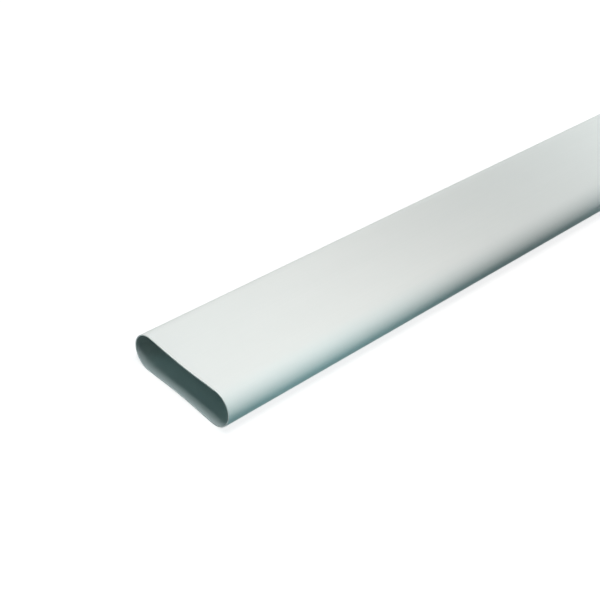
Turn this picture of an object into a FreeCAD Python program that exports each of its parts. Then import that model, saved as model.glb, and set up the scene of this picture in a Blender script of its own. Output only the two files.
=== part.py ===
# Flat channel duct: one straight length of extruded rigid PVC ventilation duct.
# The section is an oblong, flat above and below with full-round sides, and its wall is even all round.
# Both ends are sawn square and left plain, so that a coupler slips over either of them.
# Millimetres. +X runs along the duct, +Z is up, and the origin is the middle of the underside.

import FreeCAD
import Part
import os

# Driving dimensions
LENGTH = 1500.0      # sawn end to sawn end
WIDTH = 200.0        # outside, across the two round sides
HEIGHT = 60.0        # outside, over the two flat faces
WALL = 2.0           # even all round the section
EDGE_BREAK = 0.3     # chamfer that deburring leaves on the sawn edges

# What follows from them
NEAR_END_X = -LENGTH / 2
MID_HEIGHT = HEIGHT / 2
HALF_FLAT = (WIDTH - HEIGHT) / 2     # from the middle to the centre of either round side
IN_PLANE = 1e-6                      # an edge this thin along X lies in a sawn end

PARTS_FOLDER = "parts"
NODE = "flat_duct"


def oblong_face(inset):
    """The near end's plane inside the outer section drawn in by inset: two flats joined by two half circles."""
    radius = HEIGHT / 2 - inset

    def point(y, z_from_middle):
        return FreeCAD.Vector(NEAR_END_X, y, MID_HEIGHT + z_from_middle)

    top_left, top_right = point(HALF_FLAT, radius), point(-HALF_FLAT, radius)
    bottom_left, bottom_right = point(HALF_FLAT, -radius), point(-HALF_FLAT, -radius)
    outline = [
        Part.LineSegment(top_left, top_right),
        Part.Arc(top_right, point(-HALF_FLAT - radius, 0), bottom_right),
        Part.LineSegment(bottom_right, bottom_left),
        Part.Arc(bottom_left, point(HALF_FLAT + radius, 0), top_left),
    ]
    return Part.Face(Part.Wire([curve.toShape() for curve in outline]))


def extruded_tube():
    """The wall's section, drawn out along the duct."""
    wall_section = oblong_face(0).cut(oblong_face(WALL))
    return wall_section.extrude(FreeCAD.Vector(LENGTH, 0, 0)).Solids[0]


def deburred(tube):
    """The tube with the outer and inner edges of both sawn ends broken."""
    sawn_edges = [edge for edge in tube.Edges if edge.BoundBox.XLength < IN_PLANE]
    return tube.makeChamfer(EDGE_BREAK, sawn_edges)


def main():
    os.makedirs(PARTS_FOLDER, exist_ok=True)
    duct = deburred(extruded_tube())
    duct.exportStep(os.path.join(PARTS_FOLDER, NODE + ".step"))
    box = duct.BoundBox
    print(f"{NODE}: {box.XLength:.2f} x {box.YLength:.2f} x {box.ZLength:.2f} mm, lowest point {box.ZMin:.3f}")
    print(f"valid {duct.isValid()}, solids {len(duct.Solids)}, volume {duct.Volume / 1000:.2f} cm3")


main()
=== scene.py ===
import math

import bpy
from mathutils import Matrix, Vector


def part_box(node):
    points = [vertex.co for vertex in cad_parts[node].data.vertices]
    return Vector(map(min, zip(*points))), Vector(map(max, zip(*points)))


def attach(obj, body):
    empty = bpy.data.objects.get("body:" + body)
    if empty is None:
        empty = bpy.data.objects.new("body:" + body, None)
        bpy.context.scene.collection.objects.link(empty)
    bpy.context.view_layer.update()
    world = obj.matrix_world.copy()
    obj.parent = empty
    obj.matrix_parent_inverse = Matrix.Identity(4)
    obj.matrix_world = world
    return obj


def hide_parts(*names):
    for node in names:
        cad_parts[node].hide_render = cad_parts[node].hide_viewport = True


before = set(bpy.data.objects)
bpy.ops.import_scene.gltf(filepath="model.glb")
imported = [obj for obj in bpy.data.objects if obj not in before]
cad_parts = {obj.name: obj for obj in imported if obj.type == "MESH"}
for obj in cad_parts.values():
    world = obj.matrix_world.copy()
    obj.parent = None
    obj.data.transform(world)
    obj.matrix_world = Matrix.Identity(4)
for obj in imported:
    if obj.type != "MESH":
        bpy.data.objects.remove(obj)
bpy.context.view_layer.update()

# One length of flat channel duct in off-white rigid PVC, lying on a white studio floor.
# Metres, in the model's frame: +X along the duct, +Z up, origin in the middle of the underside.

# The duct
NODE = "flat_duct"
NODE_LOW, NODE_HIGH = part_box(NODE)
NEAR_X = NODE_LOW.x                  # the mouth that the camera sees
FAR_X = NODE_HIGH.x
HEIGHT = NODE_HIGH.z - NODE_LOW.z
MID_HEIGHT = NODE_LOW.z + HEIGHT / 2
WIDTH = 0.200                        # outside, across the two round sides
WALL = 0.002
EDGE_ROUND = 0.0003                  # the rounding that deburring leaves on the sawn edges
FLAT_DIP = 0.0026                    # how far the middle of either flat has drawn in at the sawn ends
DIP_EASE = 0.3                       # the share of that dip that is missing where it is least
DIP_PERIOD = 0.75                    # the length over which it comes and goes
DIP_FULLNESS = 1.25                  # 1 is a plain bow, and more eases it in at the sides

HALF_FLAT = (WIDTH - HEIGHT) / 2     # from the middle to the centre of either round side
OUTER_RADIUS = HEIGHT / 2

# How finely the mesh is cut
FLAT_STEPS = 20                      # across each flat
ROUND_STEPS = 48                     # round each half-circle side
EDGE_STEPS = 4                       # over each rounded edge of the rim
RIM_STEPS = 2                        # across the flat of the rim
LENGTH_STEPS = 60                    # along the duct
EDGE_SUPPORT = 0.0006                # the last cut before an edge, so that shading turns only at the edge
RIM_SLACK = 0.00001                  # a face this little past the rounding still belongs to the rim

# The plastic
SKIN_TONES = ((0.799, 0.822, 0.791, 1), (0.825, 0.842, 0.814, 1))
DIE_LINE_TONE = (0.768, 0.796, 0.766, 1)
# Paler than the skin, partly as bare cut plastic and partly as a painted highlight along the rim.
SAWN_AND_HIGHLIGHT_TONES = ((0.821, 0.840, 0.813, 1), (0.882, 0.890, 0.867, 1))
PVC_IOR = 1.53
NOISE_LOW, NOISE_HIGH = 0.3, 0.7     # nearly all of a noise lies between these

# The photograph's camera
FRAME_PIXELS = 600
FOCAL_PIXELS = 1159.44
SENSOR_WIDTH = 36.0                  # millimetres
CAMERA_PLACE = Vector((-1.5760, -0.8915, 1.0997))
LOOK_TURN = math.radians(40.192)     # from +X towards +Y
LOOK_DOWN = math.radians(36.806)
CAMERA_ROLL = math.radians(8.220)

# The stage
WHITE = (1, 1, 1, 1)
FLOOR_HALF_SIDE = 8.0
FLOOR_DROP = 0.0003                  # the floor lies this far under the duct, clear of its underside
FLOOR_BOUNCE = (0.030, 0.080, 0.085, 1)
SHADOW_FLOOR_GLOW = 0.84             # how white the floor stays in full shadow
SHADOW_TONE = (0.30, 0.30, 0.30, 1)  # what the lamps add to that, and the shadow takes away
SHADOW_REACH = 0.3                   # across the duct, from its middle to where the floor starts to fade
LENGTHWISE_SHARE = 0.35              # what a length along the duct counts for beside one across it
ROOM_TONE = (0.72, 0.98, 1.0, 1)
ROOM_LIGHT = 0.10                    # the room's own light, straight overhead
END_FILL_REACH = 0.95                # how far past an end its fill stands
RIM_FILL_REACH = 1.85


def section_stations():
    """Places round the section as (y of the spine, outward y, outward z, share across a flat or None)."""
    stations = []
    for way in (1, -1):
        for step in range(FLAT_STEPS):
            share = step / FLAT_STEPS
            stations.append((way * HALF_FLAT * (2 * share - 1), 0.0, way, share))
        for step in range(ROUND_STEPS):
            turn = math.pi * step / ROUND_STEPS
            stations.append((way * HALF_FLAT, way * math.sin(turn), way * math.cos(turn), None))
    return stations


def end_turn():
    """The wall's turn at an end, outside to inside: (distance from the sawn face, depth in the wall)."""
    outer_edge = [(EDGE_ROUND + EDGE_SUPPORT, 0.0)]
    for step in range(EDGE_STEPS + 1):
        angle = math.pi / 2 * step / EDGE_STEPS
        outer_edge.append((EDGE_ROUND * (1 - math.sin(angle)), EDGE_ROUND * (1 - math.cos(angle))))
    rim_width = WALL - 2 * EDGE_ROUND
    rim = [(0.0, EDGE_ROUND + rim_width * step / RIM_STEPS) for step in range(1, RIM_STEPS)]
    inner_edge = [(inward, WALL - depth) for inward, depth in reversed(outer_edge)]
    return outer_edge + rim + inner_edge


def wall_loop():
    """The wall cut lengthwise, as a closed loop of (x, depth): out along the outside and back inside."""
    turn = end_turn()
    wall_start = NEAR_X + turn[0][0]
    wall_length = FAR_X - turn[0][0] - wall_start
    inner_cuts = [wall_start + wall_length * step / LENGTH_STEPS for step in range(1, LENGTH_STEPS)]
    outside = [(x, 0.0) for x in inner_cuts]
    inside = [(x, WALL) for x in reversed(inner_cuts)]
    far_end = [(FAR_X - inward, depth) for inward, depth in turn]
    near_end = [(NEAR_X + inward, depth) for inward, depth in reversed(turn)]
    return outside + far_end + inside + near_end


def on_the_rim(*places):
    """Whether all these places along the duct lie at a sawn end, within its rounded edges."""
    return all(min(x - NEAR_X, FAR_X - x) < EDGE_ROUND + RIM_SLACK for x in places)


def flat_dip(x, share):
    """How far a flat draws in at x, at this share of its breadth."""
    if share is None:
        return 0.0
    missing = DIP_EASE / 2 * (1 - math.cos(2 * math.pi * (x - NEAR_X) / DIP_PERIOD))
    return FLAT_DIP * (1 - missing) * math.sin(math.pi * share) ** DIP_FULLNESS


def duct_mesh():
    """The whole wall as one closed skin of quads, with the sawn rims in the second material."""
    loop = wall_loop()
    stations = section_stations()
    points = []
    for x, depth in loop:
        for spine_y, out_y, out_z, share in stations:
            reach = OUTER_RADIUS - depth - flat_dip(x, share)
            points.append((x, spine_y + out_y * reach, MID_HEIGHT + out_z * reach))
    faces = []
    material_indices = []
    for i in range(len(loop)):
        next_i = (i + 1) % len(loop)
        material_index = int(on_the_rim(loop[i][0], loop[next_i][0]))
        for j in range(len(stations)):
            next_j = (j + 1) % len(stations)
            corners = [(i, j), (next_i, j), (next_i, next_j), (i, next_j)]
            faces.append([ring * len(stations) + place for ring, place in corners])
            material_indices.append(material_index)
    mesh = bpy.data.meshes.new("duct_shell")
    mesh.from_pydata(points, [], faces)
    mesh.polygons.foreach_set("use_smooth", [True] * len(faces))
    mesh.polygons.foreach_set("material_index", material_indices)
    mesh.update()
    return mesh


class Nodes:
    """Adds shader nodes to one tree and joins them."""

    def __init__(self, tree):
        self.tree = tree
        tree.nodes.clear()

    def add(self, kind, settings=None, **inputs):
        """A new node. An input's name has _ for each space."""
        node = self.tree.nodes.new(kind)
        for name, value in (settings or {}).items():
            setattr(node, name, value)
        for name, value in inputs.items():
            self.set(node, name.replace("_", " "), value)
        return node

    def set(self, node, name, value):
        """Sets an input, by name or number, to a plain value, or joins it to another node's output."""
        socket = node.inputs[name]
        if isinstance(value, bpy.types.NodeSocket):
            self.tree.links.new(value, socket)
        else:
            socket.default_value = value


def new_material(name):
    material = bpy.data.materials.new(name)
    material.use_nodes = True
    return material, Nodes(material.node_tree)


def stretched_noise(nodes, scale, detail):
    """Noise over the object's own coordinates, with its own scale along each axis."""
    place = nodes.add("ShaderNodeTexCoord")
    stretched = nodes.add("ShaderNodeMapping", Vector=place.outputs["Object"], Scale=scale)
    noise = nodes.add("ShaderNodeTexNoise", Vector=stretched.outputs["Vector"], Scale=1.0, Detail=detail)
    return noise.outputs["Fac"]


def ranged(nodes, noise, low, high):
    """Noise spread over a range of values."""
    spread = nodes.add(
        "ShaderNodeMapRange", Value=noise,
        From_Min=NOISE_LOW, From_Max=NOISE_HIGH, To_Min=low, To_Max=high,
    )
    return spread.outputs["Result"]


def mixed_colour(nodes, share, first, second):
    """One colour going over into another. The node's colour sockets have to go by number."""
    mix = nodes.add("ShaderNodeMix", {"data_type": "RGBA"})
    nodes.set(mix, 0, share)
    nodes.set(mix, 6, first)
    nodes.set(mix, 7, second)
    return mix.outputs[2]


def finish_plastic(nodes, colour, roughness, gloss, height, relief):
    """A plastic surface of this colour and gloss, with a relief in metres from the height's 0 to 1."""
    bump = nodes.add("ShaderNodeBump", Height=height, Strength=1.0, Distance=relief)
    plastic = nodes.add("ShaderNodeBsdfPrincipled", Base_Color=colour, Roughness=roughness, IOR=PVC_IOR)
    nodes.set(plastic, "Specular IOR Level", gloss)
    nodes.set(plastic, "Normal", bump.outputs["Normal"])
    output = nodes.add("ShaderNodeOutputMaterial")
    nodes.set(output, "Surface", plastic.outputs["BSDF"])


def extruded_pvc():
    """Off-white PVC as it leaves the die: a satin skin, softly clouded, with faint lines along it."""
    material, nodes = new_material("extruded_pvc")
    die_lines = stretched_noise(nodes, scale=(1.5, 420.0, 420.0), detail=3.0)
    clouding = stretched_noise(nodes, scale=(7.0, 22.0, 22.0), detail=2.0)
    clouded = mixed_colour(nodes, clouding, *SKIN_TONES)
    lined = mixed_colour(nodes, ranged(nodes, die_lines, 0.0, 0.25), clouded, DIE_LINE_TONE)
    roughness = ranged(nodes, die_lines, 0.46, 0.56)
    finish_plastic(nodes, lined, roughness, gloss=0.06, height=die_lines, relief=0.00004)
    return material


def sawn_pvc():
    """The sawn rim: bare, with more gloss than the skin and finely scored by the saw; paler partly as cut
    plastic, partly as painted highlight.
    """
    material, nodes = new_material("sawn_pvc")
    scores = stretched_noise(nodes, scale=(300.0, 2600.0, 180.0), detail=4.0)
    colour = mixed_colour(nodes, scores, *SAWN_AND_HIGHLIGHT_TONES)
    roughness = ranged(nodes, scores, 0.22, 0.32)
    finish_plastic(nodes, colour, roughness, gloss=0.8, height=scores, relief=0.00002)
    return material


def add_duct():
    duct = bpy.data.objects.new("duct_shell", duct_mesh())
    bpy.context.scene.collection.objects.link(duct)
    duct.data.materials.append(extruded_pvc())
    duct.data.materials.append(sawn_pvc())
    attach(duct, "root")
    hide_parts(NODE)


def either_ray(nodes, *kinds):
    """1 for rays of these kinds, and 0 for all others."""
    path = nodes.add("ShaderNodeLightPath")
    share = path.outputs[kinds[0]]
    for kind in kinds[1:]:
        larger = nodes.add("ShaderNodeMath", {"operation": "MAXIMUM"})
        nodes.set(larger, 0, share)
        nodes.set(larger, 1, path.outputs[kind])
        share = larger.outputs["Value"]
    return share


def mixed_shader(nodes, share, first, second):
    """The first shader where the share is 0, and the second where it is 1."""
    mix = nodes.add("ShaderNodeMixShader")
    nodes.set(mix, 0, share)
    nodes.set(mix, 1, first)
    nodes.set(mix, 2, second)
    return mix.outputs["Shader"]


def shadowed_white(nodes):
    """White floor that keeps the duct's soft shadow, and fades into plain white further out."""
    place = nodes.add("ShaderNodeTexCoord")
    scale = (LENGTHWISE_SHARE, 1.0, 1.0)
    narrowed = nodes.add("ShaderNodeMapping", Vector=place.outputs["Object"], Scale=scale)
    reach = nodes.add("ShaderNodeVectorMath", {"operation": "LENGTH"}, Vector=narrowed.outputs["Vector"])
    glow = nodes.add(
        "ShaderNodeMapRange", Value=reach.outputs["Value"],
        From_Min=SHADOW_REACH, From_Max=2 * SHADOW_REACH, To_Min=SHADOW_FLOOR_GLOW, To_Max=1.0,
    )
    emission = nodes.add("ShaderNodeEmission", Color=WHITE, Strength=glow.outputs["Result"])
    shaded = nodes.add("ShaderNodeBsdfDiffuse", Color=SHADOW_TONE)
    white = nodes.add("ShaderNodeAddShader")
    nodes.set(white, 0, emission.outputs["Emission"])
    nodes.set(white, 1, shaded.outputs["BSDF"])
    return white.outputs["Shader"]


def floor_material():
    """White to the camera and in a gloss, and a dark cool tone in the light that it throws back."""
    material, nodes = new_material("studio_floor")
    thrown_back = nodes.add("ShaderNodeBsdfDiffuse", Color=FLOOR_BOUNCE)
    in_a_gloss = nodes.add("ShaderNodeEmission", Color=WHITE, Strength=1.0)
    glossy_ray = either_ray(nodes, "Is Glossy Ray", "Is Transmission Ray")
    unseen = mixed_shader(nodes, glossy_ray, thrown_back.outputs["BSDF"], in_a_gloss.outputs["Emission"])
    camera_ray = either_ray(nodes, "Is Camera Ray")
    output = nodes.add("ShaderNodeOutputMaterial")
    nodes.set(output, "Surface", mixed_shader(nodes, camera_ray, unseen, shadowed_white(nodes)))
    return material


def add_floor():
    mesh = bpy.data.meshes.new("studio_floor")
    side = FLOOR_HALF_SIDE
    level = NODE_LOW.z - FLOOR_DROP
    corners = [(-side, -side, level), (side, -side, level), (side, side, level), (-side, side, level)]
    mesh.from_pydata(corners, [], [(0, 1, 2, 3)])
    floor = bpy.data.objects.new("studio_floor", mesh)
    floor.data.materials.append(floor_material())
    bpy.context.scene.collection.objects.link(floor)


def add_world():
    """White where it shows, and a dim cool room in the light that it gives, brightest overhead."""
    world = bpy.data.worlds.new("studio")
    world.use_nodes = True
    bpy.context.scene.world = world
    nodes = Nodes(world.node_tree)
    white = nodes.add("ShaderNodeBackground", Color=WHITE, Strength=1.0)
    direction = nodes.add("ShaderNodeTexCoord")
    split = nodes.add("ShaderNodeSeparateXYZ", Vector=direction.outputs["Generated"])
    dimming = nodes.add("ShaderNodeMapRange", Value=split.outputs["Z"], To_Min=0.0, To_Max=ROOM_LIGHT)
    room = nodes.add("ShaderNodeBackground", Color=ROOM_TONE, Strength=dimming.outputs["Result"])
    seen_ray = either_ray(nodes, "Is Camera Ray", "Is Glossy Ray", "Is Transmission Ray")
    output = nodes.add("ShaderNodeOutputWorld")
    mix = mixed_shader(nodes, seen_ray, room.outputs["Background"], white.outputs["Background"])
    nodes.set(output, "Surface", mix)


def add_soft_light(name, place, aim, size, colour, power):
    """A soft box of this length and breadth, which doesn't itself show in the picture."""
    data = bpy.data.lights.new(name, "AREA")
    data.shape = "RECTANGLE"
    data.size, data.size_y = size
    data.color = colour
    data.energy = power
    light = bpy.data.objects.new(name, data)
    light.location = place
    light.rotation_euler = (Vector(aim) - Vector(place)).to_track_quat("-Z", "Y").to_euler()
    light.visible_camera = False
    bpy.context.scene.collection.objects.link(light)


def add_overhead_lights():
    """Soft boxes: a cool and a warm one over the near end, neutral together, and one over the far end."""
    add_soft_light(
        "front_overhead", place=(-0.85, -0.15, 1.00), aim=(-0.85, 0.0, 0.0),
        size=(0.3, 0.6), colour=(0.87, 0.955, 1.0), power=4.2,
    )
    add_soft_light(
        "overhead", place=(-0.55, -0.15, 1.00), aim=(-1.00, 0.0, 0.0),
        size=(0.3, 0.6), colour=(1.0, 0.85, 0.82), power=4.72,
    )
    add_soft_light(
        "far_overhead", place=(0.66, -0.08, 0.80), aim=(0.66, 0.0, 0.0),
        size=(0.6, 0.4), colour=(0.975, 0.965, 0.98), power=4.95,
    )


def add_side_lights():
    """Low cool fills along both sides."""
    add_soft_light(
        "side_fill", place=(-0.60, -0.50, 0.06), aim=(-0.60, 0.0, MID_HEIGHT),
        size=(0.3, 0.3), colour=(0.48, 0.93, 1.0), power=0.70,
    )
    add_soft_light(
        "far_side_fill", place=(0.48, -0.45, 0.06), aim=(0.48, 0.0, MID_HEIGHT),
        size=(0.6, 0.2), colour=(0.60, 0.93, 1.0), power=0.37,
    )
    add_soft_light(
        "back_fill", place=(0.0, 0.80, 0.25), aim=(0.0, 0.0, MID_HEIGHT),
        size=(1.6, 0.3), colour=(0.95, 0.99, 1.0), power=2.6,
    )


def add_end_lights():
    """At either end a cool fill from above, and a narrow one in line with the duct that lights the rim."""
    for name, end_x, outward in (("near", NEAR_X, -1), ("far", FAR_X, 1)):
        mouth = (end_x, 0.0, MID_HEIGHT)
        add_soft_light(
            name + "_end_fill", place=(end_x + outward * END_FILL_REACH, 0.30, 1.00), aim=mouth,
            size=(0.8, 0.8), colour=(0.50, 0.95, 1.0), power=1.59,
        )
        add_soft_light(
            name + "_rim_fill", place=(end_x + outward * RIM_FILL_REACH, 0.0, MID_HEIGHT), aim=mouth,
            size=(0.2, 0.06), colour=(0.85, 1.0, 1.0), power=4.0,
        )


def add_camera():
    """The photograph's camera: where it stands, how it is turned and its lens."""
    forward = Vector((
        math.cos(LOOK_DOWN) * math.cos(LOOK_TURN),
        math.cos(LOOK_DOWN) * math.sin(LOOK_TURN),
        -math.sin(LOOK_DOWN),
    ))
    level_right = Vector((math.sin(LOOK_TURN), -math.cos(LOOK_TURN), 0.0))
    level_up = level_right.cross(forward)
    right = level_right * math.cos(CAMERA_ROLL) + level_up * math.sin(CAMERA_ROLL)
    up = level_up * math.cos(CAMERA_ROLL) - level_right * math.sin(CAMERA_ROLL)
    data = bpy.data.cameras.new("camera")
    data.sensor_width = SENSOR_WIDTH
    data.lens = SENSOR_WIDTH * FOCAL_PIXELS / FRAME_PIXELS
    camera = bpy.data.objects.new("camera", data)
    turn = Matrix((right, up, -forward)).transposed()
    camera.matrix_world = Matrix.Translation(CAMERA_PLACE) @ turn.to_4x4()
    bpy.context.scene.collection.objects.link(camera)
    bpy.context.scene.camera = camera


bpy.context.scene.view_settings.view_transform = "Standard"
add_duct()
add_floor()
add_world()
add_overhead_lights()
add_side_lights()
add_end_lights()
add_camera()
